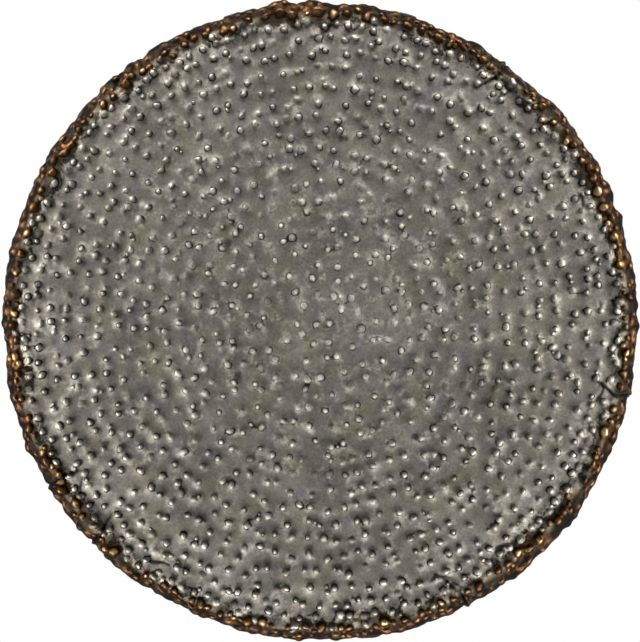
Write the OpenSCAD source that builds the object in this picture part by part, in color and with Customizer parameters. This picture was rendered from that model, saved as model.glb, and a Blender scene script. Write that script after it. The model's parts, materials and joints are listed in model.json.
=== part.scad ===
// Hand-hammered tam-tam gong. A round bronze sheet has its rim turned back over a shoulder, nubs are
// struck up all over its face and rim, and two holes in the top of the rim are lined with grommets
// for the cord that hangs it. The gong hangs upright with its face towards -Y, and the origin is the
// middle of its overall box.

/* [Sheet] */
// Diameter across the turned-back rim, without the nubs
gong_d = 604; // [590:1:640]
// Thickness of the hammered sheet
sheet_t = 2; // [1.2:0.1:3]
// Outside radius of the shoulder where the face bends back into the rim
bend_r = 16; // [12:0.5:19]
// Depth from the face to the back edge of the rim
rim_depth = 42; // [39:0.5:60]

/* [Pleats] */
// Width of a pleat where spare metal folded over as the rim was turned
pleat_w = 5; // [3:0.5:8]
// Height of a pleat above the shoulder
pleat_h = 1.8; // [1:0.1:3]

/* [Nubs] */
// Base diameter of a small nub on the face
small_nub_d = 5.4; // [5:0.1:6]
// Base diameter of a middling nub on the face
middling_nub_d = 6.4; // [6:0.1:7]
// Base diameter of a large nub on the face
large_nub_d = 7.4; // [7:0.1:8.4]
// Height of a nub on the face
nub_h = 2.2; // [1.2:0.1:2.5]
// Base diameter of a lesser nub on the shoulder and rim
lesser_rim_nub_d = 7; // [6:0.1:8]
// Base diameter of a greater nub on the shoulder and rim
greater_rim_nub_d = 9; // [8:0.1:10]
// Height of a nub on the shoulder and rim
rim_nub_h = 3; // [1.5:0.1:3]

/* [Hammer rows] */
// Spacing of the rows, and of the nubs along them, over most of the face
field_pitch = 15.4; // [13:0.1:18]
// Number of closer rows near the edge of the face
edge_row_count = 2; // [1:1:4]
// Spacing of those closer rows, and of the nubs along them
edge_pitch = 12.6; // [11:0.1:14]
// Distance from the outermost row of the face to the start of the shoulder
edge_margin = 6; // [4:0.5:10]
// Spacing of the rows, and of the nubs along them, over the shoulder and rim
rim_pitch = 11.8; // [11:0.1:16]
// Distance from the start of the shoulder to its first row
rim_first = 4.5; // [3:0.5:8]
// Bare strip between the last row of the rim and its back edge
rim_margin = 14; // [8:0.5:20]
// How far a blow strays along its row, as a share of the spacing
stray_along = 0.33; // [0:0.01:0.5]
// How far a blow strays across its row, as a share of the spacing
stray_across = 0.24; // [0:0.01:0.4]
// Least gap between two nubs, and between a nub and a pleat or grommet
nub_gap = 0.8; // [0.1:0.1:1]
// Which arrangement of stray blows is struck
hammer_seed = 24; // [1:1:99]

/* [Suspension] */
// Angle of each suspension hole from the top of the gong
hole_angle = 16; // [10:1:24]
// Distance from the middle of a suspension hole to the back edge of the rim
hole_inset = 13; // [11:0.5:15]
// Diameter of the hole drilled through the rim
hole_d = 12; // [11:0.5:14]
// Bore of the grommet, which the cord runs through
cord_bore_d = 8; // [5:0.5:9]
// Diameter of the grommet across its flanges
grommet_d = 18; // [16:0.5:20]
// Thickness of each grommet flange
grommet_flange_t = 2; // [1:0.1:3]
// Radial clearance between the grommet and the hole
grommet_clear = 0.1; // [0.05:0.05:0.3]
// Gap between a grommet flange and the sheet, which is curved there
grommet_seat = 0.2; // [0.2:0.05:0.5]

/* [Hidden] */
$fn = 96;
dome_fn = 24;

// Levels run along the gong's axis, which points out of its face
gong_r = gong_d / 2;
plate_r = gong_r - bend_r;
face_level = (rim_depth - rim_nub_h) / 2;
bend_level = face_level - bend_r;
back_level = face_level - rim_depth;
hole_level = back_level + hole_inset;

// Distances along the sheet, from the middle of the face over the shoulder to the back edge
bend_len = bend_r * PI / 2;
sheet_len = plate_r + bend_len + bend_level - back_level;

// Angles are counter-clockwise from the right, as someone in front of the gong sees it; the rim
// around each hole is a stretch of its own
top_angle = 90;
hole_stretch_angle = 10;
pleat_angles = [54, 211, 224, 297, 346];

// Zones of nubs, and how far the inner two reach
CENTRE = 0;
MIDDLE = 1;
OUTER = 2;
EDGE = 3;
RIM = 4;
centre_r = 95;
middle_r = 174;

// Shares of the blows that raise small and middling nubs on the face, and lesser ones on the rim
small_share = 0.3;
middling_share = 0.45;
lesser_share = 0.5;

// Length of a drilling that passes right through the rim and its grommet
drill_len = 4 * grommet_d;

// Each row starts this much further round than the one inside it
row_turn = 137.5;
// Nubs struck before another that may lie next to it: the last two rows
neighbour_span = 340;

face_grey = [0.44, 0.42, 0.39];
nub_grey = [0.56, 0.54, 0.51];
rim_brown = [0.28, 0.22, 0.16];
rim_gold = [0.72, 0.54, 0.32];
rubber_black = [0.07, 0.07, 0.07];

// Angle that the sheet has turned through at a distance along it: 0 on the face, 90 on the rim
function bend_turn(along) = min(90, max(0, (along - plate_r) / bend_r * 180 / PI));

// Radius of the outside of the sheet at a distance along it
function radius_at(along) = min(along, plate_r) + bend_r * sin(bend_turn(along));

// Level of the outside of the sheet at a distance along it
function level_at(along) =
    bend_level + bend_r * cos(bend_turn(along)) - max(0, along - plate_r - bend_len);

// Hammer rows as [distance along the sheet, spacing, zone]
outermost_row = plate_r - edge_margin;
field_reach = outermost_row - edge_row_count * edge_pitch;
field_rows = [
    for (along = [field_pitch / 2 : field_pitch : field_reach])
        [along, field_pitch, along < centre_r ? CENTRE : along < middle_r ? MIDDLE : OUTER]
];
edge_rows = [
    for (i = [edge_row_count - 1 : -1 : 0])
        [outermost_row - i * edge_pitch, edge_pitch, EDGE]
];
rim_rows = [
    for (along = [plate_r + rim_first : rim_pitch : sheet_len - rim_margin])
        [along, rim_pitch, RIM]
];
rows = concat(field_rows, edge_rows, rim_rows);

// Angle brought into the turn from 0 to 360
function wrapped(angle) = angle - 360 * floor(angle / 360);

// Blows of one row as [angle, distance along the sheet, size from 0 to 1, zone]
function row_blows(k) =
    let (
        row = rows[k],
        count = floor(2 * PI * radius_at(row[0]) / row[1]),
        aside = rands(-stray_along, stray_along, count, hammer_seed + 3 * k),
        off_row = rands(-stray_across, stray_across, count, hammer_seed + 3 * k + 1),
        size = rands(0, 1, count, hammer_seed + 3 * k + 2)
    )
    [
        for (i = [0 : count - 1])
            [
                wrapped(360 * (i + aside[i]) / count + row_turn * k),
                row[0] + off_row[i] * row[1],
                size[i],
                row[2]
            ]
    ];

// Base diameter and height of the nub that a blow raises
function nub_d(blow) =
    blow[3] == RIM
        ? (blow[2] < lesser_share ? lesser_rim_nub_d : greater_rim_nub_d)
        : blow[2] < small_share
            ? small_nub_d
            : blow[2] < small_share + middling_share ? middling_nub_d : large_nub_d;
function nub_height(blow) = blow[3] == RIM ? rim_nub_h : nub_h;

// Point on the sheet at an angle and a level, and the point where a blow lands
function on_sheet(angle, radius, level) = [radius * cos(angle), radius * sin(angle), level];
function landing(blow) = on_sheet(blow[0], radius_at(blow[1]), level_at(blow[1]));

// Whether a blow on the rim stays clear of both grommets
hole_angles = [top_angle - hole_angle, top_angle + hole_angle];
function misses_grommets(blow) =
    min([for (angle = hole_angles) norm(landing(blow) - on_sheet(angle, gong_r, hole_level))])
        > (grommet_d + nub_d(blow)) / 2 + nub_gap;

// Whether a blow stays clear of every pleat, which runs along the sheet from the face's edge
function misses_pleats(blow) =
    blow[1] < plate_r - nub_d(blow) / 2
    || min([for (angle = pleat_angles) abs(gong_r * sin((blow[0] - angle) / 2) * 2)])
        > (pleat_w + nub_d(blow)) / 2 + nub_gap;

// Nubs that are left once blows too near an earlier one, a pleat or a grommet are taken out
blows = [for (k = [0 : len(rows) - 1]) each row_blows(k)];
landings = [for (blow = blows) landing(blow)];
widths = [for (blow = blows) nub_d(blow)];
function stands_clear(i) =
    len([
        for (j = [max(0, i - neighbour_span) : 1 : i - 1])
            if (norm(landings[i] - landings[j]) < (widths[i] + widths[j]) / 2 + nub_gap) j
    ]) == 0;
nubs = [
    for (i = [0 : len(blows) - 1])
        if (misses_grommets(blows[i]) && misses_pleats(blows[i]) && stands_clear(i)) blows[i]
];

// Turns a gong lying on its back upright, with its face towards -Y
module upright() {
    rotate([90, 0, 0])
        children();
}

// Outline of the sheet's shoulder: a quarter ring
module bend_outline(inside, outside) {
    translate([plate_r, bend_level])
        intersection() {
            difference() {
                circle(outside);
                circle(inside);
            }
            square(outside);
        }
}

// Stretch of the straight rim, from one angle round to another
module rim_stretch(from, sweep) {
    rotate([0, 0, from])
        rotate_extrude(angle = sweep)
            translate([gong_r - sheet_t, back_level])
                square([sheet_t, bend_level - back_level]);
}

// Puts children at a suspension hole, with their Z axis pointing out through the rim
module at_hole(side) {
    rotate([0, 0, top_angle - side * hole_angle])
        translate([gong_r - sheet_t / 2, 0, hole_level])
            rotate([0, 90, 0])
                children();
}

// Domed nub on a flat base
module dome(base_d, height) {
    ball_r = (base_d * base_d / 4 + height * height) / (2 * height);
    intersection() {
        translate([0, 0, height - ball_r])
            sphere(ball_r, $fn = dome_fn);
        translate([0, 0, ball_r])
            cube(2 * ball_r, center = true);
    }
}

// Every nub of a zone within a sweep from an angle, each seated square on the sheet
module nub_group(zone, from, sweep) {
    for (blow = nubs)
        if (blow[3] == zone && wrapped(blow[0] - from) < sweep)
            rotate([0, 0, blow[0]])
                translate([radius_at(blow[1]), 0, level_at(blow[1])])
                    rotate([0, bend_turn(blow[1]), 0])
                        dome(nub_d(blow), nub_height(blow));
}

// Flat striking face
module face_plate() {
    color(face_grey)
        upright()
            translate([0, 0, face_level - sheet_t])
                cylinder(h = sheet_t, r = plate_r);
}

// Bend between the face and the rim, all the way round
module shoulder() {
    color(rim_brown)
        upright()
            rotate_extrude()
                bend_outline(bend_r - sheet_t, bend_r);
}

// Turned-back rim in two stretches: the short one between the two holes and the long one round the rest
module rim_band() {
    between = 2 * hole_angle - hole_stretch_angle;
    color(rim_brown)
        upright() {
            rim_stretch(top_angle - between / 2, between);
            rim_stretch(
                top_angle + hole_angle + hole_stretch_angle / 2,
                360 - between - 2 * hole_stretch_angle
            );
        }
}

// Stretch of the rim around one suspension hole; side is -1 on the left and 1 on the right
module rim_at_hole(side) {
    color(rim_brown)
        upright()
            difference() {
                rim_stretch(top_angle - side * hole_angle - hole_stretch_angle / 2, hole_stretch_angle);
                at_hole(side)
                    cylinder(h = drill_len, d = hole_d, center = true);
            }
}

// Folds of spare metal lying over the shoulder
module rim_pleats() {
    half_angle = asin(pleat_w / 2 / gong_r);
    color(rim_gold)
        upright()
            for (angle = pleat_angles)
                rotate([0, 0, angle - half_angle])
                    rotate_extrude(angle = 2 * half_angle)
                        bend_outline(bend_r, bend_r + pleat_h);
}

// Grommet that lines a suspension hole
module grommet(side) {
    grip = sheet_t + 2 * grommet_seat;
    length = grip + 2 * grommet_flange_t;
    color(rubber_black)
        upright()
            at_hole(side)
                difference() {
                    union() {
                        cylinder(h = length, d = hole_d - 2 * grommet_clear, center = true);
                        for (end = [-1, 1])
                            translate([0, 0, end * (grip + grommet_flange_t) / 2])
                                cylinder(h = grommet_flange_t, d = grommet_d, center = true);
                    }
                    cylinder(h = drill_len, d = cord_bore_d, center = true);
                }
}

// Nubs on the face, parted into zones and sides
module face_nubs(zone, from, sweep) {
    color(nub_grey)
        upright()
            nub_group(zone, from, sweep);
}

// Nubs on the shoulder and rim, parted into quarters
module rim_nubs(from, sweep) {
    color(rim_gold)
        upright()
            nub_group(RIM, from, sweep);
}

face_plate();
shoulder();
rim_band();
rim_at_hole(-1);  // rim_at_left_hole
rim_at_hole(1);  // rim_at_right_hole
rim_pleats();
grommet(-1);  // left_grommet
grommet(1);  // right_grommet
face_nubs(CENTRE, 0, 360);  // centre_nubs
face_nubs(MIDDLE, 90, 180);  // middle_nubs_left
face_nubs(MIDDLE, 270, 180);  // middle_nubs_right
face_nubs(OUTER, 0, 90);  // outer_nubs_top_right
face_nubs(OUTER, 90, 90);  // outer_nubs_top_left
face_nubs(OUTER, 180, 90);  // outer_nubs_bottom_left
face_nubs(OUTER, 270, 90);  // outer_nubs_bottom_right
face_nubs(EDGE, 0, 90);  // edge_nubs_top_right
face_nubs(EDGE, 90, 90);  // edge_nubs_top_left
face_nubs(EDGE, 180, 90);  // edge_nubs_bottom_left
face_nubs(EDGE, 270, 90);  // edge_nubs_bottom_right
rim_nubs(0, 90);  // rim_nubs_top_right
rim_nubs(90, 90);  // rim_nubs_top_left
rim_nubs(180, 90);  // rim_nubs_bottom_left
rim_nubs(270, 90);  // rim_nubs_bottom_right
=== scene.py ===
"""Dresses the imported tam-tam gong, one hammered bronze sheet whose rim is turned back.

The sheet is rebuilt as two closed meshes, the struck face and the turned rim. Their points gather
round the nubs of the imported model, and a Geometry Nodes tree then strikes the nubs up out of the
metal, one pass of the hammer after another.
"""

import json
import logging
import math
from dataclasses import dataclass, field
from enum import Enum
from typing import Any

import bmesh
import bpy
import numpy as np
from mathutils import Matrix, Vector
from mathutils.geometry import delaunay_2d_cdt


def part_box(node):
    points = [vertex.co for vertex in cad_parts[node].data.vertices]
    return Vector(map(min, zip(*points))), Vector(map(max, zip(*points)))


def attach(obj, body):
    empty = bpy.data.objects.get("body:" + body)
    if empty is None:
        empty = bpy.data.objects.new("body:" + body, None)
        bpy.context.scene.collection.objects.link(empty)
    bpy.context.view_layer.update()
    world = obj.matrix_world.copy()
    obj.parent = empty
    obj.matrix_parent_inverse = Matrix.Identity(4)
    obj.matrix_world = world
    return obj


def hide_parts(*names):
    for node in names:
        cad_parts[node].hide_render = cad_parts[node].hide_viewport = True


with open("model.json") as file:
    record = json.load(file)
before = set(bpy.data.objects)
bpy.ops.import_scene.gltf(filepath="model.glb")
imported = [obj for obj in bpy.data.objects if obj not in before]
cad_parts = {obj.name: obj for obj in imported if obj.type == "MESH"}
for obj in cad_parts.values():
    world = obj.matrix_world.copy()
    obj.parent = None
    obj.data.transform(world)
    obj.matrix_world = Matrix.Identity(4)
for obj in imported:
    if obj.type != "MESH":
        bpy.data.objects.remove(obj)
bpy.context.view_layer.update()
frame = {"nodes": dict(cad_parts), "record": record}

log = logging.getLogger("gong")

Array = np.ndarray
Colour = tuple[int, int, int]
Ramp = tuple[float, ...]
MM = 0.001
FULL_TURN = 2 * math.pi
MERGE_DIGITS = 5

# Where the colour sockets stand among those of a mix node.
MIX_FIRST, MIX_SECOND, MIX_RESULT = 6, 7, 2
# The output of the triangulation that fills the whole hull with triangles.
WHOLE_HULL = 0


class Side(Enum):
    """A side of the sheet; the value is how far it lies below the front, in sheet thicknesses."""

    FRONT = 0.0
    BACK = 1.0


class Slot(Enum):
    """The record's material slots, one of which each sheet piece keeps."""

    FACE = "face_bronze"
    RIM = "rim_bronze"
    GROMMET = "grommet_rubber"


def smooth_step(low: float, high: float, value: Array) -> Array:
    """Returns 0 below low, 1 above high and a smooth ramp between them."""
    share = np.clip((value - low) / (high - low), 0.0, 1.0)
    return share * share * (3 - 2 * share)


def turn_from(start: float, angle: Array) -> Array:
    """Returns the turn from one angle to others, within half a turn either way."""
    return (angle - start + math.pi) % FULL_TURN - math.pi


def bell(away: Array, width: float) -> Array:
    """Returns 1 at no distance, falling off to both sides over a width."""
    return np.exp(-((away / width) ** 2))


def circle(segments: int, start: float = 0.0) -> Array:
    """Returns evenly spaced flat places on a circle of radius 1."""
    turn = np.arange(segments) * FULL_TURN / segments + start
    return np.column_stack((np.cos(turn), np.sin(turn)))


def linear(red: int, green: int, blue: int) -> tuple[float, float, float, float]:
    """Returns a screen colour, given in steps of 255, as the linear colour that nodes take."""
    shares = [step / 255 for step in (red, green, blue)]
    straight = [s / 12.92 if s < 0.04045 else ((s + 0.055) / 1.055) ** 2.4 for s in shares]
    return (straight[0], straight[1], straight[2], 1.0)


def add_object(name: str, data: Any) -> bpy.types.Object:
    """Returns a new object that is linked to the scene."""
    made = bpy.data.objects.new(name, data)
    bpy.context.scene.collection.objects.link(made)
    return made


def store(mesh: bpy.types.Mesh, name: str, values: Array) -> None:
    """Stores numbers or vectors on a mesh's points under a name."""
    flat = np.asarray(values, dtype=np.float32)
    kind, key = ("FLOAT_VECTOR", "vector") if flat.ndim == 2 else ("FLOAT", "value")
    mesh.attributes.new(name, kind, "POINT").data.foreach_set(key, flat.ravel())


def smooth_mesh(mesh: bpy.types.Mesh) -> int:
    """Turns a mesh's faces outward and smooths them, with sharp edges where triangles meet quads.

    Args:
        mesh: The mesh.

    Returns:
        The number of open edges.
    """
    work = bmesh.new()
    work.from_mesh(mesh)
    bmesh.ops.recalc_face_normals(work, faces=work.faces)
    for polygon in work.faces:
        polygon.smooth = True
    for edge in work.edges:
        edge.smooth = len({len(polygon.verts) for polygon in edge.link_faces}) < 2
    open_edges = sum(len(edge.link_faces) != 2 for edge in work.edges)
    work.to_mesh(mesh)
    work.free()
    return open_edges


def mesh_arrays(node: str) -> tuple[Array, Array]:
    """Reads a CAD node with its loose corners merged.

    Args:
        node: The node's name.

    Returns:
        The points, and for each triangle the numbers of its three points.
    """
    mesh = frame["nodes"][node].data
    mesh.calc_loop_triangles()
    corners = np.empty(len(mesh.vertices) * 3)
    mesh.vertices.foreach_get("co", corners)
    triangles = np.empty(len(mesh.loop_triangles) * 3, dtype=np.int64)
    mesh.loop_triangles.foreach_get("vertices", triangles)
    merged, place = np.unique(np.round(corners.reshape(-1, 3), MERGE_DIGITS), axis=0, return_inverse=True)
    return merged, place.reshape(-1)[triangles].reshape(-1, 3)


def solids(node: str) -> list[Array]:
    """Returns the points of each separate solid of a CAD node."""
    points, triangles = mesh_arrays(node)
    label = np.arange(len(points))
    while True:
        lowest = label[triangles].min(axis=1)
        spread = label.copy()
        np.minimum.at(spread, triangles.ravel(), np.repeat(lowest, 3))
        spread = spread[spread]
        if np.array_equal(spread, label):
            break
        label = spread
    order = np.argsort(label, kind="stable")
    cuts = np.flatnonzero(np.diff(label[order])) + 1
    return [points[part] for part in np.split(order, cuts)]


@dataclass(frozen=True)
class SheetLine:
    """The line of the sheet's front from the middle of the face, over the shoulder, to the back edge."""

    plate_radius: float
    bend_radius: float
    rim_width: float
    face_level: float
    thickness: float

    @classmethod
    def from_frame(cls) -> "SheetLine":
        """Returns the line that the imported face, shoulder and rim follow."""
        plate_low, plate_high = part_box("face_plate")
        shoulder_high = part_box("shoulder")[1]
        rim_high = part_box("rim_band")[1]
        return cls(
            plate_radius=plate_high.x,
            bend_radius=shoulder_high.y - plate_low.y,
            rim_width=rim_high.y - shoulder_high.y,
            face_level=plate_low.y,
            thickness=plate_high.y - plate_low.y,
        )

    @property
    def bend_end(self) -> float:
        """Distance along the line at which the shoulder ends."""
        return self.plate_radius + self.bend_radius * math.pi / 2

    @property
    def length(self) -> float:
        """Distance along the line from the middle of the face to the back edge."""
        return self.bend_end + self.rim_width

    @property
    def outer_radius(self) -> float:
        """Radius of the rim's outside."""
        return self.plate_radius + self.bend_radius

    def turn(self, along: Array) -> Array:
        """Returns how far the sheet has turned back, from 0 on the face to a right angle on the rim."""
        return np.clip((along - self.plate_radius) / self.bend_radius, 0.0, math.pi / 2)

    def outward(self, angle: Array, along: Array) -> Array:
        """Returns the direction that the front of the sheet faces."""
        turn = self.turn(along)
        radial = np.sin(turn)
        return np.column_stack((radial * np.cos(angle), -np.cos(turn), radial * np.sin(angle)))

    def place(self, angle: Array, along: Array, lift: Array) -> Array:
        """Finds points on or off the sheet.

        Args:
            angle: Turn about the gong's axis, from the viewer's right, in radians.
            along: Distance from the middle of the face along the sheet.
            lift: Height above the front of the sheet.

        Returns:
            One point for each angle.
        """
        turn = self.turn(along)
        radius = np.minimum(along, self.plate_radius) + self.bend_radius * np.sin(turn)
        depth = self.face_level + self.bend_radius * (1 - np.cos(turn))
        depth = depth + np.maximum(0.0, along - self.bend_end)
        ground = np.column_stack((radius * np.cos(angle), depth, radius * np.sin(angle)))
        return ground + self.outward(angle, along) * np.reshape(lift, (-1, 1))

    def locate(self, point: Array) -> tuple[float, float]:
        """Returns the angle and the distance along the sheet of the place nearest to a point."""
        angle = math.atan2(point[2], point[0])
        radius = math.hypot(point[0], point[2])
        bend_level = self.face_level + self.bend_radius
        if point[1] > bend_level:
            return angle, self.bend_end + point[1] - bend_level
        if radius < self.plate_radius:
            return angle, radius
        turn = math.atan2(radius - self.plate_radius, bend_level - point[1])
        return angle, self.plate_radius + self.bend_radius * turn


@dataclass(frozen=True)
class Waver:
    """A smooth, seeded unevenness of the metal, made of crossing waves."""

    wavelength: float
    height: float
    seed: int
    waves: int = 30
    spread: tuple[float, float] = (0.7, 1.4)

    def sample(self, points: Array) -> Array:
        """Returns the rise of the metal at each point."""
        rng = np.random.default_rng(self.seed)
        headings = rng.normal(size=(self.waves, 3))
        headings /= np.linalg.norm(headings, axis=1, keepdims=True)
        headings *= FULL_TURN / (self.wavelength * rng.uniform(*self.spread, (self.waves, 1)))
        phases = rng.uniform(0.0, FULL_TURN, self.waves)
        total = np.zeros(len(points))
        for heading, phase in zip(headings, phases):
            total += np.sin(points @ heading + phase)
        return total * self.height * math.sqrt(2 / self.waves)


@dataclass(frozen=True)
class Hole:
    """A suspension hole of the rim and the grommet that lines it."""

    name: str
    node: str
    centre: Vector
    axis: Vector
    angle: float
    along: float

    @classmethod
    def from_frame(cls, line: SheetLine) -> "list[Hole]":
        """Returns the holes that the record's bore mounts describe."""
        holes = []
        for mount in frame["record"]["mounts"]:
            if mount["kind"] != "bore":
                continue
            centre = Vector(mount["pos_m"])
            node = mount["name"].split("_")[0] + "_grommet"
            angle, along = line.locate(np.array(centre))
            holes.append(cls(mount["name"], node, centre, Vector(mount["axis"]), angle, along))
        return holes


@dataclass(frozen=True)
class Lap:
    """A short crease near the rim, where the sheet folded over itself as the rim was turned."""

    angle: float
    along: float
    half_length: float
    slant: float
    phase: float
    sway: float = 2.2 * MM
    sway_length: float = 4.5 * MM
    fade_start: float = 0.5

    def line_at(self, run: Array) -> Array:
        """Returns the distance along the sheet of the crease itself, at a distance from its middle."""
        return self.along + self.slant * run + self.sway * np.sin(run / self.sway_length + self.phase)

    def run(self, angle: Array) -> Array:
        """Returns the distance round the gong from the middle of the crease."""
        return turn_from(self.angle, angle) * self.along

    def share(self, angle: Array) -> Array:
        """Returns 1 along the crease, fading to 0 at its ends."""
        return 1 - smooth_step(self.fade_start, 1.0, np.abs(self.run(angle)) / self.half_length)

    def across(self, angle: Array, along: Array) -> Array:
        """Returns the distance from the crease, towards the rim."""
        return along - self.line_at(self.run(angle))


@dataclass(frozen=True)
class LapScatter:
    """How the laps are strewn round the edge of the face, with lengths in millimetres."""

    count: int = 9
    seed: int = 29
    jitter: float = 0.4
    zone: tuple[float, float] = (264, 282)
    half_lengths: tuple[float, float] = (8, 16)
    usual_slant: float = 0.3
    last_phase: float = 6.0

    def laps(self) -> list[Lap]:
        """Returns the laps."""
        rng = np.random.default_rng(self.seed)
        laps = []
        for number in range(self.count):
            angle = (number + rng.uniform(-self.jitter, self.jitter)) * FULL_TURN / self.count
            along = rng.uniform(*self.zone) * MM
            half_length = rng.uniform(*self.half_lengths) * MM
            slant = rng.normal(0.0, self.usual_slant)
            laps.append(Lap(angle, along, half_length, slant, rng.uniform(0.0, self.last_phase)))
        return laps


@dataclass
class Unevenness:
    """How the blank sheet wavers before its nubs are struck."""

    line: SheetLine
    holes: list[Hole]
    pleat_angles: list[float]
    laps: list[Lap] = field(default_factory=lambda: LapScatter().laps())
    outline: Waver = Waver(460 * MM, 1.3 * MM, 3)
    dents: Waver = Waver(46 * MM, 0.30 * MM, 5)
    ripples: Waver = Waver(20 * MM, 0.12 * MM, 9)
    wrinkles: Waver = Waver(15 * MM, 0.42 * MM, 13)
    wrinkle_zone: tuple[float, float] = (246 * MM, 276 * MM)
    rim_swell: Waver = Waver(70 * MM, 0.6 * MM, 11)
    rim_lumps: Waver = Waver(40 * MM, 1.6 * MM, 17)
    rim_blend: float = 22 * MM
    ridge_height: float = 1.8 * MM
    ridge_width: float = 2.4 * MM
    groove_depth: float = 2.0 * MM
    groove_width: float = 1.8 * MM
    pleat_start: float = 262 * MM
    pleat_full_gap: float = 4 * MM
    pleat_lean: float = 0.55
    pleat_sway: float = 1.5 * MM
    pleat_sway_length: float = 7 * MM
    pleat_phase: float = 5
    pleat_strip: tuple[float, float] = (-5 * MM, 7 * MM)
    pleat_crease_width: float = 1.3
    pleat_crease_reach: float = 9 * MM
    lap_height: float = 0.9 * MM
    lap_groove: float = 0.7
    lip_rise: tuple[float, float] = (-0.6 * MM, 1.4 * MM)
    lip_end: float = 9 * MM
    lap_strip: tuple[float, float] = (-3 * MM, 4.5 * MM)
    lap_crease: float = 0.35
    lap_crease_width: float = 1.4
    strip_gap: float = 1 * MM
    hole_flat: float = 10 * MM
    hole_fade: float = 14 * MM

    def rim_share(self, along: Array) -> Array:
        """Returns 0 on the face and 1 on the rim, with a soft change at the plate's edge."""
        start = self.line.plate_radius - self.rim_blend / 2
        return smooth_step(start, start + self.rim_blend, along)

    def from_pleat(self, angle: Array, along: Array, pleat: float) -> Array:
        """Returns the distance round the gong from a pleat's crease."""
        phase = self.pleat_phase * pleat
        sway = self.pleat_sway * np.sin(along / self.pleat_sway_length + phase) * self.rim_share(along)
        lean = -self.pleat_lean * math.sin(phase) * np.minimum(0.0, along - self.line.plate_radius)
        return turn_from(pleat, angle) * self.line.outer_radius + sway + lean

    def pleat_lift(self, angle: Array, along: Array) -> Array:
        """Returns the rise of the folded metal at the pleats, a ridge beside a groove."""
        lift = np.zeros(len(angle))
        reach = smooth_step(self.pleat_start, self.line.plate_radius - self.pleat_full_gap, along)
        for pleat in self.pleat_angles:
            away = self.from_pleat(angle, along, pleat)
            ridge = self.ridge_height * bell(away - self.ridge_width, self.ridge_width)
            lift += reach * (ridge - self.groove_depth * bell(away, self.groove_width))
        return lift

    def lap_lift(self, angle: Array, along: Array) -> Array:
        """Returns the rise of the metal at the laps, a lip on the rim's side of a groove."""
        lift = np.zeros(len(angle))
        for lap in self.laps:
            away = lap.across(angle, along)
            lip = smooth_step(*self.lip_rise, away) * smooth_step(self.lip_end, self.lip_rise[1], away)
            groove = self.lap_groove * bell(away, self.groove_width)
            lift += self.lap_height * lap.share(angle) * (lip - groove)
        return lift

    def beside(self, away: Array, strip: tuple[float, float]) -> Array:
        """Returns which distances from a crease lie on its strip, or only just off it."""
        return (away > strip[0] - self.strip_gap) & (away < strip[1] + self.strip_gap)

    def in_strip(self, angle: Array, along: Array) -> Array:
        """Returns which places lie on the strip of a pleat or a lap, where points lie closer."""
        found = np.zeros(len(angle), dtype=bool)
        for pleat in self.pleat_angles:
            away = self.from_pleat(angle, along, pleat)
            found |= self.beside(away, self.pleat_strip) & (along > self.pleat_start)
        for lap in self.laps:
            on_lap = np.abs(lap.run(angle)) < lap.half_length
            found |= self.beside(lap.across(angle, along), self.lap_strip) & on_lap
        return found

    def strips(self, spacing: float) -> tuple[Array, Array]:
        """Returns closely spaced places along the pleats and laps.

        Args:
            spacing: The distance between neighbours.

        Returns:
            The places' angles, and their distances along the sheet.
        """
        angles, alongs = [], []
        for pleat in self.pleat_angles:
            rows = np.arange(self.pleat_start, self.line.length, spacing)
            away, along = np.meshgrid(np.arange(*self.pleat_strip, spacing), rows)
            away, along = away.ravel(), along.ravel()
            shift = self.from_pleat(np.full(len(along), pleat), along, pleat)
            angles.append(pleat + (away - shift) / self.line.outer_radius)
            alongs.append(along)
        for lap in self.laps:
            columns = np.arange(-lap.half_length, lap.half_length, spacing)
            run, away = np.meshgrid(columns, np.arange(*self.lap_strip, spacing))
            angles.append(lap.angle + run.ravel() / lap.along)
            alongs.append(lap.line_at(run.ravel()) + away.ravel())
        return np.concatenate(angles), np.concatenate(alongs)

    def crease(self, angle: Array, along: Array) -> Array:
        """Returns 1 in the groove of a pleat, less in that of a lap, falling to 0 beside it."""
        reach = smooth_step(self.pleat_start, self.pleat_start + self.pleat_crease_reach, along)
        depth = np.zeros(len(angle))
        width = self.pleat_crease_width * self.groove_width
        for pleat in self.pleat_angles:
            depth = np.maximum(depth, reach * bell(self.from_pleat(angle, along, pleat), width))
        width = self.lap_crease_width * self.groove_width
        for lap in self.laps:
            share = self.lap_crease * lap.share(angle)
            depth = np.maximum(depth, share * bell(lap.across(angle, along), width))
        return depth

    def near_hole(self, angle: Array, along: Array) -> Array:
        """Returns the distance along the sheet to the nearest suspension hole."""
        nearest = np.full(len(angle), np.inf)
        for hole in self.holes:
            across = turn_from(hole.angle, angle) * self.line.outer_radius
            nearest = np.minimum(nearest, np.hypot(across, along - hole.along))
        return nearest

    def lift(self, angle: Array, along: Array) -> Array:
        """Returns the rise of the blank sheet above its true line."""
        ground = self.line.place(angle, along, np.zeros(len(angle)))
        total = self.outline.sample(ground) + self.dents.sample(ground) + self.ripples.sample(ground)
        total += self.wrinkles.sample(ground) * smooth_step(*self.wrinkle_zone, along)
        lumps = np.abs(self.rim_lumps.sample(ground)) - self.rim_lumps.height / 2
        total += self.rim_share(along) * (self.rim_swell.sample(ground) + lumps)
        total += self.pleat_lift(angle, along) + self.lap_lift(angle, along)
        away = self.near_hole(angle, along)
        return total * smooth_step(self.hole_flat, self.hole_flat + self.hole_fade, away)


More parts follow.
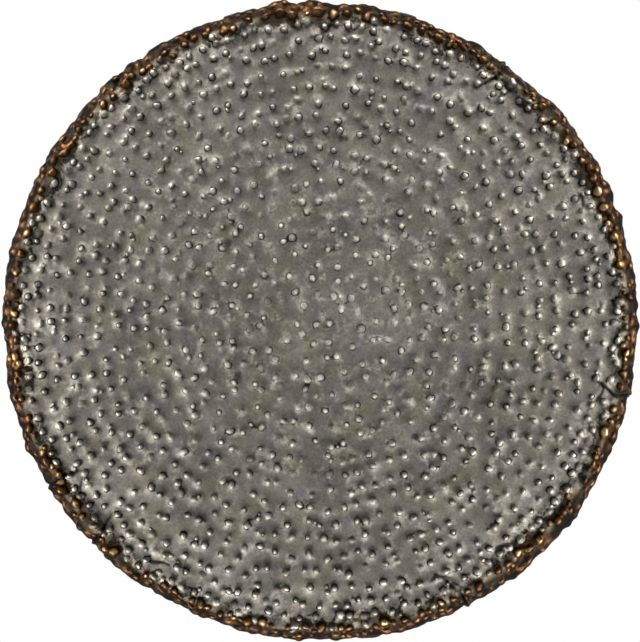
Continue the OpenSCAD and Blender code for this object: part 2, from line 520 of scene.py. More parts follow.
@dataclass
class Nubs:
    """The nubs that the hammer raises, one entry for each in every list."""

    angle: Array
    along: Array
    radius: Array
    height: Array
    on_rim: Array

    @classmethod
    def from_frame(cls, line: SheetLine) -> "Nubs":
        """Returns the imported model's nubs, each told by its place on the sheet and its size."""
        rows = []
        for node in sorted(frame["nodes"]):
            if "_nubs" not in node:
                continue
            for points in solids(node):
                middle = points.mean(axis=0)
                angle, along = line.locate(middle)
                outward = line.outward(np.array([angle]), np.array([along]))[0]
                rise = (points - middle) @ outward
                spread = np.linalg.norm(points - middle - rise[:, None] * outward, axis=1)
                rows.append((angle, along, spread.max(), np.ptp(rise), node.startswith("rim")))
        return cls(*np.array(rows, dtype=float).T)

    def __len__(self) -> int:
        """Returns the number of nubs."""
        return len(self.angle)


@dataclass(frozen=True)
class SmallNubs:
    """Small seeded nubs: some touch a nub of the face, others fill the shoulder's gaps.

    The radii and the shoulder's width are in millimetres.
    """

    on_face: int = 130
    on_shoulder: int = 190
    seed: int = 53
    face_radius: tuple[float, float] = (1.5, 2.3)
    shoulder_radius: tuple[float, float] = (2.2, 3.4)
    shoulder_width: float = 20.0
    touch: tuple[float, float] = (1.0, 1.15)
    edge_gap: float = 5 * MM
    least_apart: float = 0.92
    steepness: float = 0.62

    def join(self, nubs: Nubs, line: SheetLine) -> Nubs:
        """Adds the small nubs to others.

        Args:
            nubs: The other nubs.
            line: The sheet's line.

        Returns:
            All the nubs together.
        """
        rng = np.random.default_rng(self.seed)
        spots = nubs.along * np.exp(1j * nubs.angle)
        radius = nubs.radius
        face_total = len(nubs) + self.on_face
        while len(spots) < face_total + self.on_shoulder:
            heading = np.exp(1j * rng.uniform(-math.pi, math.pi))
            if len(spots) < face_total:
                small = rng.uniform(*self.face_radius) * MM
                host = rng.integers(len(nubs))
                spot = spots[host] + rng.uniform(*self.touch) * (radius[host] + small) * heading
                fits = abs(spot) < line.plate_radius - self.edge_gap
            else:
                small = rng.uniform(*self.shoulder_radius) * MM
                spot = (line.plate_radius + rng.uniform(0.0, self.shoulder_width) * MM) * heading
                fits = True
            if fits and np.all(abs(spots - spot) > self.least_apart * (radius + small)):
                spots = np.append(spots, spot)
                radius = np.append(radius, small)
        height = np.append(nubs.height, self.steepness * radius[len(nubs) :])
        on_rim = np.concatenate((nubs.on_rim, np.zeros(self.on_face), np.ones(self.on_shoulder)))
        return Nubs(np.angle(spots), abs(spots), radius, height, on_rim)


@dataclass
class TreeMaker:
    """Short words for building a node tree."""

    tree: bpy.types.NodeTree
    ends: dict[str, Any] = field(default_factory=dict)

    @classmethod
    def new(cls, name: str, kind: str) -> "TreeMaker":
        """Returns a maker for a new tree of a kind."""
        return cls(bpy.data.node_groups.new(name, kind))

    def socket(self, name: str, kind: str, out: bool = False, default: float | None = None) -> None:
        """Adds a named input or output to the tree.

        Args:
            name: The socket's name.
            kind: The socket's type.
            out: Whether it is an output.
            default: The value that an input starts with.
        """
        made = self.tree.interface.new_socket(
            name=name, in_out="OUTPUT" if out else "INPUT", socket_type=kind
        )
        if default is not None:
            made.default_value = default

    def given(self) -> Any:
        """Returns the tree's inputs, after making both of its end nodes."""
        self.ends["out"] = self.node("NodeGroupOutput")
        self.ends["in"] = self.node("NodeGroupInput")
        return self.ends["in"].outputs

    def give(self, name: str, value: Any) -> None:
        """Links a value to one of the tree's outputs."""
        self.tree.links.new(value, self.ends["out"].inputs[name])

    def node(self, kind: str, **settings: Any) -> Any:
        """Returns a new node with its settings."""
        made = self.tree.nodes.new(kind)
        for name, value in settings.items():
            setattr(made, name, value)
        return made

    def link(self, start: Any, end: Any) -> None:
        """Links an output to an input, or sets the input where start is a plain value."""
        if isinstance(start, bpy.types.NodeSocket):
            self.tree.links.new(start, end)
        else:
            end.default_value = start

    def math(self, operation: str, *values: Any, clamp: bool = False) -> Any:
        """Returns the result of a sum on numbers."""
        made = self.node("ShaderNodeMath", operation=operation, use_clamp=clamp)
        for value, end in zip(values, made.inputs):
            self.link(value, end)
        return made.outputs[0]

    def times(self, first: Any, *others: Any) -> Any:
        """Returns numbers multiplied together."""
        for other in others:
            first = self.math("MULTIPLY", first, other)
        return first

    def plus(self, first: Any, *others: Any) -> Any:
        """Returns numbers added together."""
        for other in others:
            first = self.math("ADD", first, other)
        return first

    def blend(self, share: Any, first: Any, second: Any) -> Any:
        """Returns two numbers mixed, the second one by share."""
        return self.math("MULTIPLY_ADD", share, self.math("SUBTRACT", second, first), first)

    def vector(self, operation: str, first: Any, second: Any = None) -> Any:
        """Returns the result of a sum on vectors, a number where the sum gives one."""
        made = self.node("ShaderNodeVectorMath", operation=operation)
        self.link(first, made.inputs[0])
        if second is not None:
            self.link(second, made.inputs["Scale"] if operation == "SCALE" else made.inputs[1])
        return made.outputs["Value"] if operation in ("LENGTH", "DOT_PRODUCT") else made.outputs[0]

    def attribute(self, name: str, kind: str = "FLOAT") -> Any:
        """Returns a named attribute of the mesh, in a geometry tree."""
        made = self.node("GeometryNodeInputNamedAttribute", data_type=kind)
        made.inputs["Name"].default_value = name
        return made.outputs["Attribute"]

    def surface(self, name: str) -> Any:
        """Returns a named attribute of the mesh as a number, in a shader tree."""
        return self.node("ShaderNodeAttribute", attribute_name=name).outputs["Fac"]

    def place(self) -> Any:
        """Returns the point that is shaded, in a shader tree."""
        return self.node("ShaderNodeTexCoord").outputs["Object"]

    def noise(self, coordinates: Any, size: float, detail: float = 2.0, rough: float = 0.5) -> Any:
        """Returns a noise whose blots are about as wide as size, from 0 to 1."""
        made = self.node("ShaderNodeTexNoise")
        self.link(coordinates, made.inputs["Vector"])
        made.inputs["Scale"].default_value = 1 / size
        made.inputs["Detail"].default_value = detail
        made.inputs["Roughness"].default_value = rough
        return made.outputs["Fac"]

    def ramp(self, value: Any, low: float, high: float, start: float = 0.0, end: Any = 1.0) -> Any:
        """Returns a value mapped smoothly from low..high to start..end."""
        made = self.node("ShaderNodeMapRange", interpolation_type="SMOOTHSTEP")
        self.link(value, made.inputs["Value"])
        for name, setting in (("From Min", low), ("From Max", high), ("To Min", start), ("To Max", end)):
            self.link(setting, made.inputs[name])
        return made.outputs["Result"]

    def mix(self, share: Any, first: Any, second: Any) -> Any:
        """Returns two colours mixed, the second one by share."""
        made = self.node("ShaderNodeMix", data_type="RGBA")
        self.link(share, made.inputs["Factor"])
        self.link(first, made.inputs[MIX_FIRST])
        self.link(second, made.inputs[MIX_SECOND])
        return made.outputs[MIX_RESULT]

    def paint(self, under: Any, share: Any, colour: Colour) -> Any:
        """Returns a colour with another, given in steps of 255, laid over it by share."""
        return self.mix(share, under, linear(*colour))

    def bump(self, height: Any, strength: float, distance: float) -> Any:
        """Returns the direction that a surface faces when a height roughens it."""
        made = self.node("ShaderNodeBump")
        made.inputs["Strength"].default_value = strength
        made.inputs["Distance"].default_value = distance
        self.link(height, made.inputs["Height"])
        return made.outputs["Normal"]


def new_material(name: str) -> tuple[bpy.types.Material, TreeMaker, Any]:
    """Returns a new material, a maker for its tree, and its shader."""
    made = bpy.data.materials.new(name)
    made.use_nodes = True
    return made, TreeMaker(made.node_tree), made.node_tree.nodes["Principled BSDF"]


@dataclass
class Hammering:
    """The Geometry Nodes tree that strikes the nubs up out of a blank sheet."""

    line: SheetLine
    uneven: Unevenness
    nubs: Nubs
    passes: int = 4
    pass_gap: float = 0.1
    seed: int = 41
    reach: float = 1.03
    back_reach: float = 0.88
    back_height: float = 0.8
    face_merge: float = 0.3 * MM
    rim_merge: float = 0.9 * MM
    rim_reach: float = 1.28
    flange_height: float = 0.45
    flange_fade: float = 17 * MM
    face_height: float = 1.12
    height_scatter: float = 0.12
    height_limits: tuple[float, float] = (0.75, 1.2)
    faint_share: float = 0.1
    faint_height: float = 0.55
    most_stretch: float = 1.35
    any_stretch: float = 0.16
    hill_height: float = 1.5 * MM
    hill_least: float = 0.1
    hill_power: float = 1.2
    hill_sink: float = 0.4
    hill_reach: Ramp = (2.2, 0.6)
    knock: float = 0.24
    knock_size: float = 5.0 * MM
    knock_noise: Ramp = (0.25, 0.75)
    profile: tuple[tuple[float, float], ...] = (
        (0.0, 1.0),
        (0.2, 0.965),
        (0.4, 0.86),
        (0.55, 0.73),
        (0.68, 0.55),
        (0.79, 0.32),
        (0.88, 0.13),
        (0.95, 0.03),
        (1.0, 0.0),
    )

    def merge_at(self, along: Array) -> Array:
        """Returns over what height neighbouring nubs run together, at a distance along the sheet."""
        rim = self.uneven.rim_share(along)
        return self.face_merge + rim * (self.rim_merge - self.face_merge)

    def strike_order(self, places: Array, radius: Array) -> Array:
        """Shares the nubs out evenly among the passes, near neighbours in different ones.

        Args:
            places: The nubs' middles.
            radius: The nubs' radii.

        Returns:
            The pass of each nub.
        """
        order = np.zeros(len(places), dtype=np.int32)
        reach = radius * self.reach
        for index in range(1, len(places)):
            apart = np.linalg.norm(places[:index] - places[index], axis=1)
            overlap = reach[:index] + reach[index] - apart
            worst = [overlap[order[:index] == turn].max(initial=0.0) for turn in range(self.passes)]
            struck = np.bincount(order[:index], minlength=self.passes)
            order[index] = int(np.lexsort((struck, worst))[0])
        return order

    def marks(self) -> bpy.types.Object:
        """Returns a helper object with one point for each nub and its sizes as attributes."""
        nubs = self.nubs
        count = len(nubs)
        on_rim = nubs.on_rim > 0
        rng = np.random.default_rng(self.seed)
        lift = self.uneven.lift(nubs.angle, nubs.along)
        places = self.line.place(nubs.angle, nubs.along, lift)
        outward = self.line.outward(nubs.angle, nubs.along)
        heading = np.cross(outward, rng.normal(size=outward.shape))
        heading /= np.linalg.norm(heading, axis=1, keepdims=True)
        stretch = 1 + (self.most_stretch - 1) * rng.uniform(0.0, 1.0, count) ** 2 * nubs.on_rim
        stretch += self.any_stretch * rng.uniform(0.0, 1.0, count)
        share = np.where(rng.uniform(0.0, 1.0, count) < self.faint_share, self.faint_height, 1.0)
        scatter = rng.normal(1.0, self.height_scatter, count).clip(*self.height_limits)
        share = np.where(on_rim, 1.0, share) * scatter
        flange = smooth_step(self.line.bend_end - self.flange_fade, self.line.bend_end, nubs.along)
        height = nubs.height * share * (1 - flange * (1 - self.flange_height))
        height *= np.where(on_rim, 1.0, self.face_height)
        wear = rng.uniform(0.0, 1.0, count)
        hill = self.hill_height * rng.uniform(self.hill_least, 1.0, count) ** self.hill_power
        hill = np.where(on_rim, 0.0, hill)
        mesh = bpy.data.meshes.new("nub_marks")
        mesh.vertices.add(count)
        mesh.vertices.foreach_set("co", places.astype(np.float32).ravel())
        sizes = {
            "radius": nubs.radius,
            "share": share.clip(0.0, 1.0),
            "along": nubs.along,
            "wear": wear,
            "hill": hill,
            "height": height - self.hill_sink * hill,
            "stretch": stretch,
            "heading": heading,
            "pass": self.strike_order(places, nubs.radius * stretch).astype(float),
        }
        for name, values in sizes.items():
            store(mesh, f"nub_{name}", values)
        return add_object("nub_marks", mesh)

    def dome(self, maker: TreeMaker, nearness: Any) -> Any:
        """Returns the share of a nub's height that is reached at a share of its radius."""
        curve = maker.node("ShaderNodeFloatCurve")
        points = curve.mapping.curves[0].points
        for place, rise in self.profile[1:-1]:
            points.new(place, rise)
        points[0].location = self.profile[0]
        points[len(points) - 1].location = self.profile[-1]
        curve.mapping.update()
        maker.link(nearness, curve.inputs["Value"])
        return curve.outputs["Value"]

    def one_pass(self) -> bpy.types.NodeTree:
        """Returns the node group for one pass of the hammer: how far its nearest nub lifts the metal."""
        maker = TreeMaker.new("one_pass_of_the_hammer", "GeometryNodeTree")
        maker.socket("Nubs", "NodeSocketGeometry")
        maker.socket("Pass", "NodeSocketFloat")
        maker.socket("Reach", "NodeSocketFloat", default=self.reach)
        for name in ("Lift", "Rise", "Nearness", "Share", "Along", "Wear"):
            maker.socket(name, "NodeSocketFloat", out=True)
        given = maker.given()
        chosen = maker.node("FunctionNodeCompare", data_type="FLOAT", operation="EQUAL")
        maker.link(maker.attribute("nub_pass"), chosen.inputs[0])
        maker.link(given["Pass"], chosen.inputs[1])
        chosen.inputs["Epsilon"].default_value = self.pass_gap
        struck = maker.node("GeometryNodeSeparateGeometry", domain="POINT")
        maker.link(given["Nubs"], struck.inputs["Geometry"])
        maker.link(chosen.outputs[0], struck.inputs["Selection"])
        nearest = maker.node("GeometryNodeSampleNearest", domain="POINT")
        maker.link(struck.outputs["Selection"], nearest.inputs["Geometry"])

        def read(value: Any, kind: str = "FLOAT") -> Any:
            """Returns a value of the nearest nub."""
            sample = maker.node("GeometryNodeSampleIndex", data_type=kind, domain="POINT")
            maker.link(struck.outputs["Selection"], sample.inputs["Geometry"])
            maker.link(value, sample.inputs["Value"])
            maker.link(nearest.outputs["Index"], sample.inputs["Index"])
            return sample.outputs["Value"]

        sizes = ("radius", "height", "stretch", "share", "hill", "along", "wear")
        nub = {name: read(maker.attribute(f"nub_{name}")) for name in sizes}
        heading = read(maker.attribute("nub_heading", "FLOAT_VECTOR"), "FLOAT_VECTOR")
        here = maker.node("GeometryNodeInputPosition").outputs[0]
        outward = maker.attribute("outward", "FLOAT_VECTOR")
        away = maker.vector("SUBTRACT", here, read(here, "FLOAT_VECTOR"))
        above = maker.vector("SCALE", outward, maker.vector("DOT_PRODUCT", away, outward))
        away = maker.vector("SUBTRACT", away, above)
        lengthwise = maker.vector("DOT_PRODUCT", away, heading)
        shrink = maker.math("SUBTRACT", 1.0, maker.math("DIVIDE", 1.0, nub["stretch"]))
        pull = maker.vector("SCALE", heading, maker.times(lengthwise, shrink))
        distance = maker.vector("LENGTH", maker.vector("SUBTRACT", away, pull))
        noise = maker.noise(here, self.knock_size)
        knocks = maker.ramp(noise, *self.knock_noise, 1 - self.knock, 1 + self.knock)
        nearness = maker.times(maker.math("DIVIDE", distance, nub["radius"]), knocks)
        rise = self.dome(maker, maker.math("DIVIDE", nearness, given["Reach"], clamp=True))
        hill = maker.ramp(nearness, *self.hill_reach, 0.0, nub["hill"])
        maker.give("Lift", maker.math("MULTIPLY_ADD", rise, nub["height"], hill))
        maker.give("Rise", maker.times(rise, nub["share"]))
        maker.give("Nearness", nearness)
        for name in ("Share", "Along", "Wear"):
            maker.give(name, nub[name.lower()])
        return maker.tree

    def tree(self) -> bpy.types.NodeTree:
        """Returns the tree that runs every pass over a blank sheet and marks the nubs' tops and feet."""
        strike = self.one_pass()
        maker = TreeMaker.new("hammered_nubs", "GeometryNodeTree")
        maker.socket("Geometry", "NodeSocketGeometry")
        maker.socket("Nubs", "NodeSocketObject")
        maker.socket("Reach", "NodeSocketFloat", default=self.reach)
        maker.socket("Finish", "NodeSocketMaterial")
        maker.socket("Geometry", "NodeSocketGeometry", out=True)
        given = maker.given()
        marks = maker.node("GeometryNodeObjectInfo")
        maker.link(given["Nubs"], marks.inputs["Object"])
        reach = maker.times(given["Reach"], maker.attribute("reach_share"))
        merge = maker.attribute("merge")
        runs = []
        for turn in range(self.passes):
            run = maker.node("GeometryNodeGroup", node_tree=strike)
            maker.link(marks.outputs["Geometry"], run.inputs["Nubs"])
            maker.link(float(turn), run.inputs["Pass"])
            maker.link(reach, run.inputs["Reach"])
            runs.append(run.outputs)
        lift, top, near = runs[0][:3]
        own = {name: runs[0][name] for name in ("Share", "Along", "Wear")}
        for run in runs[1:]:
            lift = maker.math("SMOOTH_MAX", lift, run["Lift"], merge)
            top = maker.math("MAXIMUM", top, run["Rise"])
            closer = maker.math("LESS_THAN", run["Nearness"], near)
            for name, value in own.items():
                own[name] = maker.blend(closer, value, run[name])
            near = maker.math("MINIMUM", near, run["Nearness"])
        found = {"nub_top": top, "nub_near": near}
        found |= {f"nub_{name.lower()}": value for name, value in own.items()}
        marked = given["Geometry"]
        for name, value in found.items():
            mark = maker.node("GeometryNodeStoreNamedAttribute", data_type="FLOAT", domain="POINT")
            mark.inputs["Name"].default_value = name
            maker.link(marked, mark.inputs["Geometry"])
            maker.link(value, mark.inputs["Value"])
            marked = mark.outputs["Geometry"]
        push = maker.times(lift, maker.attribute("height_share"))
        offset = maker.vector("SCALE", maker.attribute("outward", "FLOAT_VECTOR"), push)
        raised = maker.node("GeometryNodeSetPosition")
        maker.link(marked, raised.inputs["Geometry"])
        maker.link(offset, raised.inputs["Offset"])
        real = maker.node("GeometryNodeRealizeInstances")
        maker.link(raised.outputs["Geometry"], real.inputs["Geometry"])
        dressed = maker.node("GeometryNodeSetMaterial")
        maker.link(real.outputs["Geometry"], dressed.inputs["Geometry"])
        maker.link(given["Finish"], dressed.inputs["Material"])
        maker.give("Geometry", dressed.outputs["Geometry"])
        return maker.tree

    def strike(self, pieces: list[bpy.types.Object], finish: bpy.types.Material) -> None:
        """Strikes the nubs into blank pieces and leaves them as plain meshes.

        Args:
            pieces: The blank pieces.
            finish: The material that they get.
        """
        marks = self.marks()
        tree = self.tree()
        inputs = [item for item in tree.interface.items_tree if item.in_out == "INPUT"]
        names = {item.name: item.identifier for item in inputs}
        for piece in pieces:
            hammer = piece.modifiers.new("hammer", "NODES")
            hammer.node_group = tree
            hammer[names["Nubs"]] = marks
            hammer[names["Finish"]] = finish
            evaluated = piece.evaluated_get(bpy.context.evaluated_depsgraph_get())
            struck = bpy.data.meshes.new_from_object(evaluated)
            piece.modifiers.remove(hammer)
            blank = piece.data
            piece.data = struck
            bpy.data.meshes.remove(blank)
            struck.name = piece.name
        bpy.data.objects.remove(marks)


@dataclass
class Chart:
    """A flat map of part of the sheet, on which its triangles are laid out."""

    line: SheetLine
    wrapped: bool
    margins: int = 40
    snap: float = 1e-9

    @property
    def width(self) -> float:
        """Length of a wrapped chart round the gong."""
        return FULL_TURN * self.line.outer_radius

    def flatten(self, angle: Array, along: Array) -> Array:
        """Returns places on the sheet as flat places."""
        if self.wrapped:
            return np.column_stack((angle % FULL_TURN * self.line.outer_radius, along))
        return np.column_stack((along * np.cos(angle), along * np.sin(angle)))

    def unflatten(self, flat: Array) -> tuple[Array, Array]:
        """Returns flat places as angles and distances along the sheet."""
        if self.wrapped:
            return flat[:, 0] / self.line.outer_radius, flat[:, 1]
        return np.arctan2(flat[:, 1], flat[:, 0]), np.hypot(flat[:, 0], flat[:, 1])

    def triangles(self, flat: Array, loops: list[Array]) -> Array:
        """Lays triangles over flat places.

        Args:
            flat: The places.
            loops: Closed rows of places whose sides must be sides of triangles.

        Returns:
            For each triangle the numbers of its three places.
        """
        numbers = np.arange(len(flat))
        spread = flat
        if self.wrapped:
            margin = self.width / self.margins
            first = np.flatnonzero(flat[:, 0] < margin)
            last = np.flatnonzero(flat[:, 0] > self.width - margin)
            step = np.array([self.width, 0.0])
            numbers = np.concatenate((numbers, first, last))
            spread = np.concatenate((flat, flat[first] + step, flat[last] - step))
        sides = [(int(a), int(b)) for loop in loops for a, b in zip(loop, np.roll(loop, -1))]
        points = [Vector(place) for place in spread]
        _, _, found, origins, _, _ = delaunay_2d_cdt(points, sides, [], WHOLE_HULL, self.snap)
        original = np.array([merged[0] for merged in origins])
        corners = original[np.array(found)]
        if self.wrapped:
            middle = spread[corners][:, :, 0].mean(axis=1)
            corners = corners[(middle >= 0) & (middle < self.width)]
        return numbers[corners]


@dataclass
class Cover:
    """How closely the points of one side of a piece lie."""

    rings: tuple[float, ...]
    segments: int
    spacing: float
    crease_spacing: float


@dataclass
class SheetPiece:
    """One closed piece of the hammered sheet, from one distance along it to another."""

    name: str
    slot: Slot
    nodes: tuple[str, ...]
    line: SheetLine
    uneven: Unevenness
    nubs: Nubs
    start: float
    end: float
    covers: dict[Side, Cover]
    holes: list[Hole]
    hole_radius: float = 6.0 * MM
    hole_segments: int = 36
    edge_points: int = 960
    lip_steps: int = 4
    lip_bulge: float = 0.5
    clear: float = 0.55
    nub_margin: float = 9 * MM
    middle_margin: float = 0.5 * MM
    ring_margin: float = 0.6 * MM
    ring_turn: float = 2.0
    ring_overlap: float = 0.1
    crease_gap: float = 1.1
    field_shake: float = 0.16
    crease_shake: float = 0.2
    block: int = 2000
    seed: int = 7
    angle: list[Array] = field(default_factory=list)
    along: list[Array] = field(default_factory=list)
    depth: list[Array] = field(default_factory=list)
    faces: list[tuple[int, ...]] = field(default_factory=list)

    @property
    def chart(self) -> Chart:
        """The flat map of this piece."""
        return Chart(self.line, wrapped=self.start > 0)

    def nearest_nub(self, flat: Array, middles: Array, radius: Array, skip: Array | None = None) -> Array:
        """Measures how near places lie to nubs.

        Args:
            flat: The places.
            middles: The nubs' flat middles.
            radius: The nubs' radii.
            skip: For each place, the nub that it doesn't count.

        Returns:
            For each place its distance from the nearest nub's middle, in radii of that nub.
        """
        nearest = np.full(len(flat), np.inf)
        for block in np.array_split(np.arange(len(flat)), max(1, len(flat) // self.block)):
            apart = np.linalg.norm(flat[block, None] - middles[None], axis=2) / radius
            if skip is not None:
                apart[np.arange(len(block)), skip[block]] = np.inf
            nearest[block] = apart.min(axis=1)
        return nearest

    def field_points(self, cover: Cover, rng: np.random.Generator) -> Array:
        """Returns a slightly shaken triangular grid of flat places over the whole chart."""
        spacing = cover.spacing
        if self.chart.wrapped:
            across, low, high = (0.0, self.chart.width), self.start, self.end
        else:
            across, low, high = (-self.end, self.end), -self.end, self.end
        columns = np.arange(across[0], across[1], spacing)
        rows = np.arange(low, high, spacing * math.sqrt(3) / 2)
        grid_x, grid_y = np.meshgrid(columns, rows)
        grid_x = grid_x + (np.arange(len(rows)) % 2)[:, None] * spacing / 2
        flat = np.column_stack((grid_x.ravel(), grid_y.ravel()))
        return flat + rng.uniform(-self.field_shake, self.field_shake, flat.shape) * spacing

    def crease_points(self, cover: Cover, rng: np.random.Generator) -> Array:
        """Returns closer, slightly shaken flat places along the pleats and laps."""
        spacing = cover.crease_spacing
        flat = self.chart.flatten(*self.uneven.strips(spacing))
        return flat + rng.uniform(-self.crease_shake, self.crease_shake, flat.shape) * spacing

    def ring_points(self, cover: Cover, middles: Array, radius: Array) -> list[Array]:
        """Lays rings of flat places round the nubs, without those that lie on another nub.

        Args:
            cover: How closely they lie.
            middles: The nubs' flat middles.
            radius: The nubs' radii.

        Returns:
            The places of the innermost rings first.
        """
        rings = []
        owner = np.repeat(np.arange(len(middles)), cover.segments)
        for share in cover.rings:
            spokes = circle(cover.segments, share * self.ring_turn)
            flat = (middles[:, None] + share * radius[:, None, None] * spokes[None]).reshape(-1, 2)
            kept = self.inside(flat, self.ring_margin)
            flat = flat[kept]
            apart = self.nearest_nub(flat, middles, radius, owner[kept])
            rings.append(flat[apart > max(share - self.ring_overlap, 1.0)])
        return rings

    def edge_rows(self) -> dict[str, Array]:
        """Returns the flat places along the end, along the start of a wrapped piece and round each hole."""
        chart = self.chart
        around = np.arange(self.edge_points) * FULL_TURN / self.edge_points
        rows = {"end": chart.flatten(around, np.full(len(around), self.end))}
        if chart.wrapped:
            rows["start"] = chart.flatten(around, np.full(len(around), self.start))
        for hole in self.holes:
            centre = chart.flatten(np.array([hole.angle]), np.array([hole.along]))
            rows[hole.name] = centre + self.hole_radius * circle(self.hole_segments)
        return rows

    def inside(self, flat: Array, margin: float) -> Array:
        """Returns which flat places lie within the piece and clear of its edges and holes."""
        angle, along = self.chart.unflatten(flat)
        kept = along < self.end - margin
        if self.chart.wrapped:
            kept &= (along > self.start + margin) & (flat[:, 0] >= 0) & (flat[:, 0] < self.chart.width)
            kept &= self.uneven.near_hole(angle, along) > self.hole_radius + margin
        return kept

    def add_points(self, angle: Array, along: Array, depth: float) -> Array:
        """Adds points at one depth in the sheet.

        Args:
            angle: Their angles.
            along: Their distances along the sheet.
            depth: How far they lie below the front, in sheet thicknesses.

        Returns:
            Their numbers.
        """
        first = sum(len(part) for part in self.angle)
        self.angle.append(angle)
        self.along.append(along)
        self.depth.append(np.full(len(angle), depth))
        return np.arange(first, first + len(angle))

    def lay_side(self, side: Side) -> dict[str, Array]:
        """Lays the points and triangles of one side of the sheet.

        Args:
            side: The side.

        Returns:
            The numbers of the points along its start, its end and each hole.
        """
        cover = self.covers[side]
        chart = self.chart
        nubs = self.nubs
        rng = np.random.default_rng(self.seed + int(side.value))
        near = (nubs.along > self.start - self.nub_margin) & (nubs.along < self.end + self.nub_margin)
        middles = chart.flatten(nubs.angle[near], nubs.along[near])
        radius = nubs.radius[near]
        outermost = max(cover.rings)
        creases = self.crease_points(cover, rng)
        creases = creases[self.inside(creases, self.ring_margin)]
        creases = creases[self.nearest_nub(creases, middles, radius) > outermost * self.crease_gap]
        spread = self.field_points(cover, rng)
        spread = spread[self.inside(spread, cover.spacing * self.clear)]
        gap = outermost + self.clear * cover.spacing / np.median(radius)
        spread = spread[self.nearest_nub(spread, middles, radius) > gap]
        spread = spread[~self.uneven.in_strip(*chart.unflatten(spread))]
        rows = self.edge_rows()
        tops = middles[self.inside(middles, self.middle_margin)]
        rings = self.ring_points(cover, middles, radius)
        flat = np.concatenate([*rows.values(), tops, *rings, creases, spread])
        loops: dict[str, Array] = {}
        count = 0
        for name, row in rows.items():
            loops[name] = np.arange(count, count + len(row))
            count += len(row)
        bounds = [loops[hole.name] for hole in self.holes]
        triangles = chart.triangles(flat, bounds)
        for bound in bounds:
            triangles = triangles[~np.isin(triangles, bound).all(axis=1)]
        numbers = self.add_points(*chart.unflatten(flat), side.value)
        self.faces.extend(map(tuple, numbers[triangles].tolist()))
        return {name: numbers[loop] for name, loop in loops.items()}

    def wall(self, front: Array, back: Array, bulge: float) -> None:
        """Closes the sheet between two loops.

        Args:
            front: The loop on the front.
            back: The loop on the back.
            bulge: How far the wall rounds out beyond the loops, along the sheet.
        """
        loops = [front]
        angle, along = np.concatenate(self.angle), np.concatenate(self.along)
        for step in range(1, self.lip_steps if bulge else 1):
            turn = step / self.lip_steps * math.pi
            outer = along[front] + bulge * math.sin(turn)
            loops.append(self.add_points(angle[front], outer, 0.5 - 0.5 * math.cos(turn)))
        loops.append(back)
        for outer, inner in zip(loops, loops[1:]):
            quads = np.column_stack((outer, np.roll(outer, -1), np.roll(inner, -1), inner))
            self.faces.extend(map(tuple, quads.tolist()))

    def build(self, hammering: Hammering) -> bpy.types.Object:
        """Builds the blank piece, with the marks that the hammer and the finish read.

        Args:
            hammering: Gives the share of each blow that reaches the back.

        Returns:
            The piece.
        """
        front = self.lay_side(Side.FRONT)
        back = self.lay_side(Side.BACK)
        for name in front:
            rounded = name == "end" and self.chart.wrapped
            self.wall(front[name], back[name], self.lip_bulge * self.line.thickness if rounded else 0.0)
        angle, along = np.concatenate(self.angle), np.concatenate(self.along)
        depth = np.concatenate(self.depth)
        lift = self.uneven.lift(angle, along)
        places = self.line.place(angle, along, lift - depth * self.line.thickness)
        mesh = bpy.data.meshes.new(self.name)
        mesh.from_pydata(places.tolist(), [], self.faces)
        widened = 1 + (hammering.rim_reach - 1) * self.uneven.rim_share(along)
        marks = {
            "outward": self.line.outward(angle, along),
            "along": along,
            "sheet_back": depth,
            "crease": self.uneven.crease(angle, along),
            "merge": hammering.merge_at(along),
            "reach_share": widened * (1 + depth * (hammering.back_reach - 1)),
            "height_share": 1 + depth * (hammering.back_height - 1),
        }
        for name, values in marks.items():
            store(mesh, name, values)
        open_edges = smooth_mesh(mesh)
        faces = len(mesh.polygons)
        log.info("%s: %d points, %d faces, %d open edges", self.name, len(angle), faces, open_edges)
        return add_object(self.name, mesh)

    def join(self, piece: bpy.types.Object) -> None:
        """Puts the finished piece in the place of its CAD nodes."""
        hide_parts(*self.nodes)
        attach(piece, "root")


@dataclass(frozen=True)
class FineGrain:
    """The fine grain of a surface."""

    usual_size: float = 1.5 * MM
    detail: float = 4.0
    rough: float = 0.65
    shade: Ramp = (0.25, 0.75, 0.76, 1.24)

    def group(self) -> bpy.types.NodeTree:
        """Returns the shader node group for the grain: a shade about 1, and a height."""
        maker = TreeMaker.new("fine_grain", "ShaderNodeTree")
        maker.socket("Size", "NodeSocketFloat", default=self.usual_size)
        maker.socket("Shade", "NodeSocketFloat", out=True)
        maker.socket("Height", "NodeSocketFloat", out=True)
        given = maker.given()
        height = maker.noise(maker.place(), self.usual_size, self.detail, self.rough)
        maker.link(maker.math("DIVIDE", 1.0, given["Size"]), height.node.inputs["Scale"])
        maker.give("Shade", maker.ramp(height, *self.shade))
        maker.give("Height", height)
        return maker.tree


@dataclass(frozen=True)
class Blots:
    """A noise of a finish, with blots of one width."""

    width: float
    detail: float
    rough: float = 0.5
    shift: tuple[float, float, float] = (0.0, 0.0, 0.0)

    def read(self, maker: TreeMaker, place: Any) -> Any:
        """Returns the noise at a place, from 0 to 1."""
        return maker.noise(maker.vector("ADD", place, self.shift), self.width, self.detail, self.rough)


@dataclass
class SheetMarks:
    """What the bronze reads of the sheet: the marks of the hammer, and noises of several sizes."""

    place: Any
    top: Any
    near: Any
    share: Any
    nub_along: Any
    wear: Any
    along: Any
    crease: Any
    front: Any
    blots: Any
    clouds: Any
    mottle: Any
    tint: Any
    shade: Any
    height: Any


